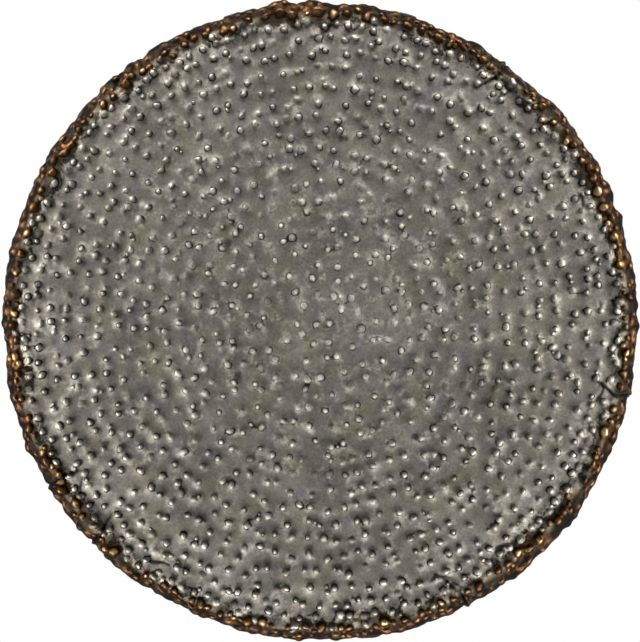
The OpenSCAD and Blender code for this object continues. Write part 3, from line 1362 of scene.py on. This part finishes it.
@dataclass(frozen=True)
class BronzeFinish:
    """Raw bronze: grey-brown oxide on the face, dark scale on the rim, nubs rubbed bright under a painted
    highlight, and painted shade at the nubs' feet, in the back's dents, in the valley inside the rim and in
    the creases.

    A Ramp reads one of the sheet's marks from its first to its second number, and gives 0 to 1 or
    its third to its fourth number.
    """

    grey: Colour = (112, 107, 100)
    pale_grey: Colour = (128, 123, 114)
    olive: Colour = (120, 117, 96)
    violet: Colour = (106, 100, 110)
    # Pale colour of the painted highlights round and on the nubs, and of the pale wrinkles near the rim.
    smear_and_highlight: Colour = (168, 164, 153)
    # Near-white of the rubbed nub tops, brightened as a painted highlight.
    rubbed_and_highlight: Colour = (244, 240, 230)
    # Dark of the soot and painted shade at the nubs' feet and in the back's dents.
    soot_and_shade: Colour = (17, 15, 13)
    stain: Colour = (58, 56, 51)
    # Dark of the painted shade in the valley inside the rim.
    valley_shade: Colour = (17, 15, 13)
    scale_dark: Colour = (17, 13, 9)
    scale_teal: Colour = (20, 20, 16)
    scale_grey: Colour = (96, 88, 74)
    scale_brown: Colour = (46, 30, 17)
    copper: Colour = (82, 58, 34)
    gold: Colour = (172, 148, 106)
    # Dark of the painted shade in the creases and at the rim beads' feet.
    crease: Colour = (12, 9, 6)
    edge_tint: Colour = (120, 96, 72)
    speck_size: float = 2.4 * MM
    blots: Blots = Blots(60 * MM, 3.0)
    clouds: Blots = Blots(26 * MM, 3.0, 0.55, (0.7, 2.3, 5.9))
    mottle: Blots = Blots(12 * MM, 4.0, 0.65)
    tint: Blots = Blots(22 * MM, 2.0, 0.5, (3.1, 1.7, 0.4))
    pale_blots: Ramp = (0.35, 0.7)
    olive_tint: Ramp = (0.52, 0.72, 0.0, 0.6)
    violet_tint: Ramp = (0.46, 0.28, 0.0, 0.45)
    worn_edge: Ramp = (240 * MM, 280 * MM, 0.0, 0.35)
    smear_near: Ramp = (2.8, 1.1)
    smear_mottle: Ramp = (0.45, 0.68)
    smear_side: Ramp = (0.0, 1.0, 0.15, 0.95)
    wrinkle_level: float = 0.5
    wrinkle_width: float = 0.025
    mottle_shade: Ramp = (0.25, 0.8, 0.82, 1.18)
    cloud_shade: Ramp = (0.3, 0.7, 0.86, 1.14)
    stain_spacing: float = 150 * MM
    stain_radius: float = 3.6 * MM
    stain_mottle: Ramp = (0.2, 0.8)
    stain_edge: tuple[float, float] = (1.5, 0.3)
    stain_strength: float = 0.8
    foot_outside: Ramp = (1.22, 0.98)
    foot_inside: Ramp = (0.64, 0.86)
    foot_blots: Blots = Blots(7 * MM, 1.0)
    foot_patches: Ramp = (0.40, 0.54, 0.2, 1.0)
    foot_along: Ramp = (190 * MM, 280 * MM, 0.95, 1.0)
    foot_on_rim: float = 0.5
    # How dark the painted shade in the back's dents is.
    dent_shade: float = 0.4
    body_highlight_top: Ramp = (0.42, 0.78, 0.0, 0.25)
    rub_top: Ramp = (0.76, 0.98)
    rub_wear: Ramp = (0.0, 0.6, 0.5, 1.0)
    rub_along: Ramp = (90 * MM, 270 * MM, 1.0, 0.25)
    worn_mottle: Ramp = (0.3, 0.7, -0.22, 0.18)
    worn_wear: Ramp = (0.0, 1.0, -0.2, 0.2)
    worn_blots: Ramp = (0.35, 0.65, -0.18, 0.12)
    worn_along: Ramp = (288 * MM, 295 * MM, 1.12, 0.82)
    teal_tint: Ramp = (0.52, 0.7)
    grey_along: Ramp = (295 * MM, 287 * MM)
    brown_worn: Ramp = (0.0, 0.4)
    copper_worn: Ramp = (0.4, 0.95)
    gold_worn: Ramp = (0.9, 1.22)
    rim_along: Ramp = (283 * MM, 288 * MM)
    rim_near: Ramp = (1.6, 1.2)
    rim_wear: Ramp = (0.0, 1.0, -3.5 * MM, 3.5 * MM)
    rim_mottle: Ramp = (0.25, 0.75, -6.2 * MM, 6.2 * MM)
    rim_blots: Ramp = (0.3, 0.7, -6.2 * MM, 6.2 * MM)
    dip_along: Ramp = (274 * MM, 283 * MM, 0.0, 0.95)
    dip_top: Ramp = (0.5, 0.1)
    dip_mottle: Ramp = (0.56, 0.44)
    crease_strength: float = 0.9
    roughness: float = 0.52
    top_polish: float = 0.19
    rim_polish: float = 0.04
    rough_mottle: Ramp = (0.2, 0.8, -0.06, 0.06)
    face_metal: float = 0.3
    top_metal: float = 0.4
    rim_metal: float = 0.78
    bump_strength: float = 0.6
    bump_height: float = 0.4 * MM

    def marks(self, maker: TreeMaker, grain: bpy.types.NodeTree) -> SheetMarks:
        """Reads the marks of the sheet.

        Args:
            maker: The maker of the shader tree.
            grain: The node group for fine grain.

        Returns:
            The marks, as sockets of the tree.
        """
        place = maker.place()
        specks = maker.node("ShaderNodeGroup", node_tree=grain)
        specks.inputs["Size"].default_value = self.speck_size
        return SheetMarks(
            place=place,
            top=maker.surface("nub_top"),
            near=maker.surface("nub_near"),
            share=maker.surface("nub_share"),
            nub_along=maker.surface("nub_along"),
            wear=maker.surface("nub_wear"),
            along=maker.surface("along"),
            crease=maker.surface("crease"),
            front=maker.math("SUBTRACT", 1.0, maker.surface("sheet_back"), clamp=True),
            blots=self.blots.read(maker, place),
            clouds=self.clouds.read(maker, place),
            mottle=self.mottle.read(maker, place),
            tint=self.tint.read(maker, place),
            shade=specks.outputs["Shade"],
            height=specks.outputs["Height"],
        )

    def stains(self, maker: TreeMaker, marks: SheetMarks) -> Any:
        """Returns up to 1 on a few small ragged stains that lie scattered over the face."""
        split = maker.node("ShaderNodeSeparateXYZ")
        maker.link(marks.place, split.inputs[0])
        flat = maker.node("ShaderNodeCombineXYZ")
        maker.link(split.outputs["X"], flat.inputs["X"])
        maker.link(split.outputs["Z"], flat.inputs["Y"])
        cells = maker.node("ShaderNodeTexVoronoi", voronoi_dimensions="2D")
        maker.link(flat.outputs[0], cells.inputs["Vector"])
        cells.inputs["Scale"].default_value = 1 / self.stain_spacing
        share = self.stain_radius / self.stain_spacing
        shift = maker.ramp(marks.mottle, *self.stain_mottle, -share, share)
        outside, inside = self.stain_edge
        edge = maker.ramp(maker.plus(cells.outputs["Distance"], shift), outside * share, inside * share)
        return maker.times(edge, self.stain_strength)

    def foot(self, maker: TreeMaker, marks: SheetMarks) -> Any:
        """Returns up to 1 in the ring at each nub's foot, in patches: soot and painted shade of the
        crevice; 0 on the back.
        """
        return maker.times(
            maker.ramp(marks.near, *self.foot_outside),
            maker.ramp(marks.near, *self.foot_inside),
            maker.ramp(self.foot_blots.read(maker, marks.place), *self.foot_patches),
            marks.share,
            marks.share,
            marks.front,
        )

    def oxide(self, maker: TreeMaker, marks: SheetMarks) -> Any:
        """Returns the colour of the bare face: mottled, tinted oxide with a pale painted highlight round
        the nubs, and pale wrinkles.
        """
        pale = maker.ramp(marks.blots, *self.pale_blots)
        face = maker.mix(pale, linear(*self.grey), linear(*self.pale_grey))
        face = maker.paint(face, maker.ramp(marks.tint, *self.olive_tint), self.olive)
        face = maker.paint(face, maker.ramp(marks.tint, *self.violet_tint), self.violet)
        worn_edge = maker.ramp(marks.along, *self.worn_edge)
        face = maker.paint(face, worn_edge, self.pale_grey)
        # Painted highlight: a pale halo is laid on the ground round each nub's foot, in patches.
        highlight_smears = maker.times(
            maker.ramp(marks.near, *self.smear_near),
            maker.ramp(marks.mottle, *self.smear_mottle),
            maker.ramp(marks.front, *self.smear_side),
        )
        face = maker.paint(face, highlight_smears, self.smear_and_highlight)
        ridge = maker.math("ABSOLUTE", maker.math("SUBTRACT", marks.mottle, self.wrinkle_level))
        wrinkles = maker.times(maker.ramp(ridge, self.wrinkle_width, 0.0), worn_edge)
        face = maker.paint(face, wrinkles, self.smear_and_highlight)
        bright = maker.times(
            maker.ramp(marks.mottle, *self.mottle_shade),
            marks.shade,
            maker.ramp(marks.clouds, *self.cloud_shade),
        )
        return maker.vector("SCALE", face, bright)

    def face_colour(self, maker: TreeMaker, marks: SheetMarks) -> Any:
        """Returns the colour of the face: oxide with stains, soot and painted shade at the nubs' feet,
        painted shade in the back's dents, a painted highlight on the nub bodies, and tops rubbed bright
        under a painted highlight.
        """
        face = maker.paint(self.oxide(maker, marks), self.stains(maker, marks), self.stain)
        # Soot and painted shade: the ring at each nub's foot is darkened, more strongly towards the rim.
        feet_soot_and_shade = maker.times(self.foot(maker, marks), maker.ramp(marks.along, *self.foot_along))
        face = maker.paint(face, feet_soot_and_shade, self.soot_and_shade)
        # Painted shade: the dents on the back are darkened towards the nubs' middles.
        behind = maker.math("SUBTRACT", self.dent_shade, marks.front)
        face = maker.paint(face, maker.math("MULTIPLY", marks.top, behind, clamp=True), self.soot_and_shade)
        # Painted highlight: the raised body of each nub on the front is lightened.
        body = maker.times(maker.ramp(marks.top, *self.body_highlight_top), marks.front)
        face = maker.paint(face, body, self.smear_and_highlight)
        # Rubbed metal and painted highlight: the very top of each nub on the front is made near-white.
        rub_and_highlight = maker.times(
            maker.ramp(marks.top, *self.rub_top),
            maker.ramp(marks.wear, *self.rub_wear),
            maker.ramp(marks.along, *self.rub_along),
            marks.front,
        )
        return maker.paint(face, rub_and_highlight, self.rubbed_and_highlight)

    def rim_colour(self, maker: TreeMaker, marks: SheetMarks) -> Any:
        """Returns the colour of the rim: black scale in the dips, then brown, copper and gold tops, with
        soot and painted shade at the beads' feet.
        """
        worn = maker.plus(
            marks.top,
            maker.ramp(marks.mottle, *self.worn_mottle),
            maker.ramp(marks.wear, *self.worn_wear),
            maker.ramp(marks.blots, *self.worn_blots),
        )
        worn = maker.times(worn, maker.ramp(marks.along, *self.worn_along))
        teal = maker.ramp(marks.tint, *self.teal_tint)
        rim = maker.mix(teal, linear(*self.scale_dark), linear(*self.scale_teal))
        rim = maker.paint(rim, maker.ramp(marks.along, *self.grey_along), self.scale_grey)
        rim = maker.paint(rim, maker.ramp(worn, *self.brown_worn), self.scale_brown)
        rim = maker.paint(rim, maker.ramp(worn, *self.copper_worn), self.copper)
        rim = maker.paint(rim, maker.ramp(worn, *self.gold_worn), self.gold)
        # Soot and painted shade: the ring at each bead's foot on the rim is darkened.
        return maker.paint(rim, maker.times(self.foot(maker, marks), self.foot_on_rim), self.crease)

    def rim_line(self, maker: TreeMaker, marks: SheetMarks) -> Any:
        """Returns the distance along the sheet, shifted so that the rim's line is ragged round nubs."""
        own = maker.plus(marks.nub_along, maker.ramp(marks.wear, *self.rim_wear))
        ground = maker.plus(
            marks.along,
            maker.ramp(marks.mottle, *self.rim_mottle),
            maker.ramp(marks.blots, *self.rim_blots),
        )
        return maker.blend(maker.ramp(marks.near, *self.rim_near), ground, own)

    def material(self, grain: bpy.types.NodeTree) -> bpy.types.Material:
        """Returns the material that the face and the rim share.

        Args:
            grain: The node group for fine grain.
        """
        made, maker, shader = new_material("raw_bronze")
        marks = self.marks(maker, grain)
        edge = self.rim_line(maker, marks)
        on_rim = maker.ramp(edge, *self.rim_along)
        # Painted shade: a dark valley just inside the rim, off the nub tops and in patches.
        valley_shade_mask = maker.times(
            maker.ramp(edge, *self.dip_along),
            maker.ramp(marks.top, *self.dip_top),
            maker.ramp(marks.mottle, *self.dip_mottle),
        )
        face = maker.paint(self.face_colour(maker, marks), valley_shade_mask, self.valley_shade)
        colour = maker.mix(on_rim, face, self.rim_colour(maker, marks))
        # Painted shade: the grooves of the pleats and laps are darkened.
        colour = maker.paint(colour, maker.times(marks.crease, self.crease_strength), self.crease)
        maker.link(colour, shader.inputs["Base Color"])
        rough = maker.plus(
            self.roughness,
            maker.times(marks.top, -self.top_polish),
            maker.ramp(marks.mottle, *self.rough_mottle),
            maker.times(on_rim, -self.rim_polish),
        )
        maker.link(rough, shader.inputs["Roughness"])
        metal = maker.plus(self.face_metal, maker.times(marks.top, self.top_metal))
        maker.link(maker.blend(on_rim, metal, self.rim_metal), shader.inputs["Metallic"])
        shader.inputs["Specular Tint"].default_value = linear(*self.edge_tint)
        bump = maker.bump(marks.height, self.bump_strength, self.bump_height)
        maker.link(bump, shader.inputs["Normal"])
        return made


@dataclass(frozen=True)
class RubberFinish:
    """Dull black rubber with a little dust."""

    black: Colour = (30, 29, 28)
    dusty: Colour = (62, 60, 57)
    speck_size: float = 0.8 * MM
    dust_blots: Blots = Blots(5 * MM, 4.0, 0.6)
    dust: Ramp = (0.42, 0.75)
    roughness: float = 0.55
    dust_roughness: float = 0.25
    bump_strength: float = 0.4
    bump_height: float = 0.1 * MM

    def material(self, grain: bpy.types.NodeTree) -> bpy.types.Material:
        """Returns the material of the grommets.

        Args:
            grain: The node group for fine grain.
        """
        made, maker, shader = new_material("grommet_rubber")
        specks = maker.node("ShaderNodeGroup", node_tree=grain)
        specks.inputs["Size"].default_value = self.speck_size
        dust = maker.ramp(self.dust_blots.read(maker, maker.place()), *self.dust)
        colour = maker.mix(dust, linear(*self.black), linear(*self.dusty))
        maker.link(colour, shader.inputs["Base Color"])
        rough = maker.plus(self.roughness, maker.times(dust, self.dust_roughness))
        maker.link(rough, shader.inputs["Roughness"])
        bump = maker.bump(specks.outputs["Height"], self.bump_strength, self.bump_height)
        maker.link(bump, shader.inputs["Normal"])
        return made


@dataclass
class Grommet:
    """A rubber ring that lines a suspension hole: a barrel between two rounded flanges."""

    hole: Hole
    bore_radius: float = 4 * MM
    barrel_radius: float = 5.9 * MM
    seat: float = 1.1 * MM
    segments: int = 48
    rounding_steps: int = 4

    def outline(self) -> list[tuple[float, float]]:
        """Returns the ring's outline as radius and height along the hole, worked out from its CAD node."""
        points = mesh_arrays(self.hole.node)[0] - np.array(self.hole.centre)
        height = points @ np.array(self.hole.axis)
        radius = np.linalg.norm(points - height[:, None] * np.array(self.hole.axis), axis=1).max()
        half = np.abs(height).max()
        curve = (half - self.seat) / 2
        outline = [(self.bore_radius, 0.0), (self.bore_radius, half - curve)]
        for step in range(1, self.rounding_steps + 1):
            turn = step / self.rounding_steps * math.pi / 2
            level = half - curve * (1 - math.sin(turn))
            outline.append((self.bore_radius + curve * (1 - math.cos(turn)), level))
        for step in range(self.rounding_steps * 2 + 1):
            turn = step / (self.rounding_steps * 2) * math.pi
            level = half - curve * (1 - math.cos(turn))
            outline.append((radius - curve + curve * math.sin(turn), level))
        outline.append((self.barrel_radius, self.seat))
        return outline + [(r, -h) for r, h in reversed(outline[1:])]

    def build(self, finish: bpy.types.Material) -> bpy.types.Object:
        """Builds the ring in the place of its CAD node.

        Args:
            finish: The material that it gets.

        Returns:
            The piece.
        """
        outline = self.outline()
        across = self.hole.axis.orthogonal().normalized()
        upward = self.hole.axis.cross(across)
        places = []
        for step in range(self.segments):
            turn = step * FULL_TURN / self.segments
            spoke = across * math.cos(turn) + upward * math.sin(turn)
            places += [self.hole.centre + spoke * r + self.hole.axis * h for r, h in outline]
        faces = []
        rows = len(outline)
        for step in range(self.segments):
            here, there = step * rows, (step + 1) % self.segments * rows
            for row in range(rows):
                following = (row + 1) % rows
                faces.append((here + row, there + row, there + following, here + following))
        mesh = bpy.data.meshes.new(self.hole.node + "_ring")
        mesh.from_pydata(places, [], faces)
        smooth_mesh(mesh)
        mesh.materials.append(finish)
        piece = add_object(self.hole.node + "_ring", mesh)
        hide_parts(self.hole.node)
        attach(piece, "root")
        return piece


@dataclass
class Studio:
    """The plain pale room, its soft lamps and the camera."""

    camera_distance: float = 3.2
    frame_height: float = 0.6111
    sensor: float = 36.0
    lamp_count: int = 24
    lamp_radius: float = 0.80
    lamp_forward: float = 0.20
    lamp_aim: float = 0.42
    lamp_size: float = 0.14
    lamp_spread: float = 34.0
    lamp_watts: float = 0.221
    back_watts: float = 6.0
    back_place: tuple[float, float, float] = (1.1, 1.3, 0.9)
    back_size: float = 0.7
    back_spread: float = 180.0
    front_light: float = 0.05
    back_light: float = 0.8
    room_change: Ramp = (-0.25, 0.35)
    backdrop: Ramp = (0.1, -0.1)
    floor_level: float = -0.95
    floor_size: float = 60.0
    floor_grey: float = 0.8
    floor_roughness: float = 0.9
    floor_glow: float = 0.7
    floor_fade: Ramp = (0.7, 1.7)
    floor_behind: Ramp = (-0.4, 0.2)

    def set_camera(self) -> None:
        """Places the camera straight in front, far off as in the photograph."""
        data = bpy.data.cameras.new("camera")
        data.sensor_width = self.sensor
        data.lens = self.sensor * self.camera_distance / self.frame_height
        camera = add_object("camera", data)
        camera.location = (0.0, -self.camera_distance, 0.0)
        camera.rotation_euler = (math.pi / 2, 0.0, 0.0)
        bpy.context.scene.camera = camera

    def add_lamp(
        self, name: str, place: Vector, target: Vector, watts: float, size: float, spread: float
    ) -> None:
        """Adds a soft square lamp.

        Args:
            name: The lamp's name.
            place: Where it stands.
            target: The point that it faces.
            watts: Its power.
            size: The length of its side.
            spread: The angle over which it shines, in degrees.
        """
        data = bpy.data.lights.new(name, "AREA")
        data.energy = watts
        data.size = size
        data.spread = math.radians(spread)
        lamp = add_object(name, data)
        lamp.location = place
        lamp.rotation_euler = (target - place).to_track_quat("-Z", "Y").to_euler()

    def set_lamps(self) -> None:
        """Places a ring of lamps round the front of the gong and two weak ones behind it."""
        forward = Vector((0.0, self.lamp_forward, 0.0))
        for number in range(self.lamp_count):
            turn = (number + 0.5) * FULL_TURN / self.lamp_count
            spoke = Vector((math.cos(turn), 0.0, math.sin(turn)))
            self.add_lamp(
                name=f"ring_lamp_{number}",
                place=spoke * self.lamp_radius - forward,
                target=spoke * self.lamp_aim,
                watts=self.lamp_watts,
                size=self.lamp_size,
                spread=self.lamp_spread,
            )
        right, back, up = self.back_place
        for number, side in enumerate((-right, right)):
            self.add_lamp(
                name=f"back_lamp_{number}",
                place=Vector((side, back, up)),
                target=Vector((0.0, 0.0, 0.0)),
                watts=self.back_watts,
                size=self.back_size,
                spread=self.back_spread,
            )

    @staticmethod
    def seen(maker: TreeMaker, mirrored: Any) -> Any:
        """Returns 1 for the camera's own rays, and a share for those that a surface sends on.

        Args:
            maker: The maker of the shader tree.
            mirrored: The share.

        Returns:
            The result, as a socket of the tree.
        """
        rays = maker.node("ShaderNodeLightPath").outputs
        sent_on = maker.math("MAXIMUM", rays["Is Glossy Ray"], rays["Is Transmission Ray"])
        return maker.math("MAXIMUM", maker.times(sent_on, mirrored), rays["Is Camera Ray"])

    def set_world(self) -> None:
        """Makes a white background, with the dim side of the room behind the camera."""
        world = bpy.data.worlds.new("studio")
        bpy.context.scene.world = world
        world.use_nodes = True
        maker = TreeMaker(world.node_tree)
        light = world.node_tree.nodes["Background"]
        heading = maker.node("ShaderNodeTexCoord").outputs["Generated"]
        forward = maker.vector("DOT_PRODUCT", heading, (0.0, -1.0, 0.0))
        room = maker.ramp(forward, *self.room_change, self.back_light, self.front_light)
        seen = self.seen(maker, maker.ramp(forward, *self.backdrop))
        level = maker.plus(seen, maker.times(room, maker.math("SUBTRACT", 1.0, seen)))
        maker.link(level, light.inputs["Strength"])
        light.inputs["Color"].default_value = (1.0, 1.0, 1.0, 1.0)

    def set_floor(self) -> None:
        """Lays the pale floor, which fades to the white of the background and keeps the shadow."""
        half = self.floor_size / 2
        mesh = bpy.data.meshes.new("floor")
        corners = [(-half, -half), (half, -half), (half, half), (-half, half)]
        mesh.from_pydata([(x, y, self.floor_level) for x, y in corners], [], [(0, 1, 2, 3)])
        made, maker, shader = new_material("pale_floor")
        shader.inputs["Base Color"].default_value = (self.floor_grey, self.floor_grey, self.floor_grey, 1.0)
        shader.inputs["Roughness"].default_value = self.floor_roughness
        glow = maker.node("ShaderNodeEmission")
        place = maker.place()
        far = maker.ramp(maker.vector("LENGTH", place), *self.floor_fade, self.floor_glow)
        behind = maker.ramp(maker.vector("DOT_PRODUCT", place, (0.0, 1.0, 0.0)), *self.floor_behind)
        both = maker.node("ShaderNodeMixShader")
        maker.link(maker.times(self.seen(maker, behind), far), both.inputs[0])
        maker.link(shader.outputs[0], both.inputs[1])
        maker.link(glow.outputs[0], both.inputs[2])
        maker.link(both.outputs[0], made.node_tree.nodes["Material Output"].inputs["Surface"])
        mesh.materials.append(made)
        add_object("floor", mesh)

    def build(self) -> None:
        """Builds the whole room."""
        bpy.context.scene.view_settings.view_transform = "Standard"
        self.set_camera()
        self.set_lamps()
        self.set_world()
        self.set_floor()


def main() -> None:
    """Builds the gong and the room, and logs the counts of nubs, pleats, points and faces, and the sheet's
    length.
    """
    logging.basicConfig(level=logging.INFO, format="%(name)s %(message)s")
    line = SheetLine.from_frame()
    holes = Hole.from_frame(line)
    pleats = [line.locate(points.mean(axis=0))[0] for points in solids("rim_pleats")]
    uneven = Unevenness(line, holes, pleats)
    nubs = SmallNubs().join(Nubs.from_frame(line), line)
    log.info("%d nubs, %d pleats, sheet %.1f mm long", len(nubs), len(pleats), line.length / MM)
    hammering = Hammering(line, uneven, nubs)
    names = sorted(frame["nodes"])
    face = SheetPiece(
        name="hammered_face",
        slot=Slot.FACE,
        nodes=("face_plate", *(n for n in names if "_nubs" in n and not n.startswith("rim"))),
        line=line,
        uneven=uneven,
        nubs=nubs,
        start=0.0,
        end=line.plate_radius,
        covers={
            Side.FRONT: Cover(
                rings=(0.40, 0.70, 0.90, 1.08, 1.36), segments=9, spacing=4.8 * MM, crease_spacing=1.0 * MM
            ),
            Side.BACK: Cover(rings=(0.50, 0.92), segments=8, spacing=6.0 * MM, crease_spacing=2.2 * MM),
        },
        holes=[],
    )
    rim = SheetPiece(
        name="turned_rim",
        slot=Slot.RIM,
        nodes=("shoulder", *(n for n in names if n.startswith("rim"))),
        line=line,
        uneven=uneven,
        nubs=nubs,
        start=line.plate_radius,
        end=line.length,
        covers={
            Side.FRONT: Cover(
                rings=(0.36, 0.64, 0.86, 1.02, 1.2), segments=12, spacing=1.9 * MM, crease_spacing=0.9 * MM
            ),
            Side.BACK: Cover(rings=(0.45, 0.85), segments=8, spacing=3.6 * MM, crease_spacing=2.2 * MM),
        },
        holes=holes,
    )
    grain = FineGrain().group()
    bronze = BronzeFinish().material(grain)
    blanks = [(sheet, sheet.build(hammering)) for sheet in (face, rim)]
    hammering.strike([piece for _, piece in blanks], bronze)
    for sheet, piece in blanks:
        sheet.join(piece)
        log.info("%s in place of %s", piece.name, ", ".join(sheet.nodes))
    rubber = RubberFinish().material(grain)
    for hole in holes:
        log.info("%s in place of %s", Grommet(hole).build(rubber).name, hole.node)
    Studio().build()


if __name__ == "__main__":
    main()
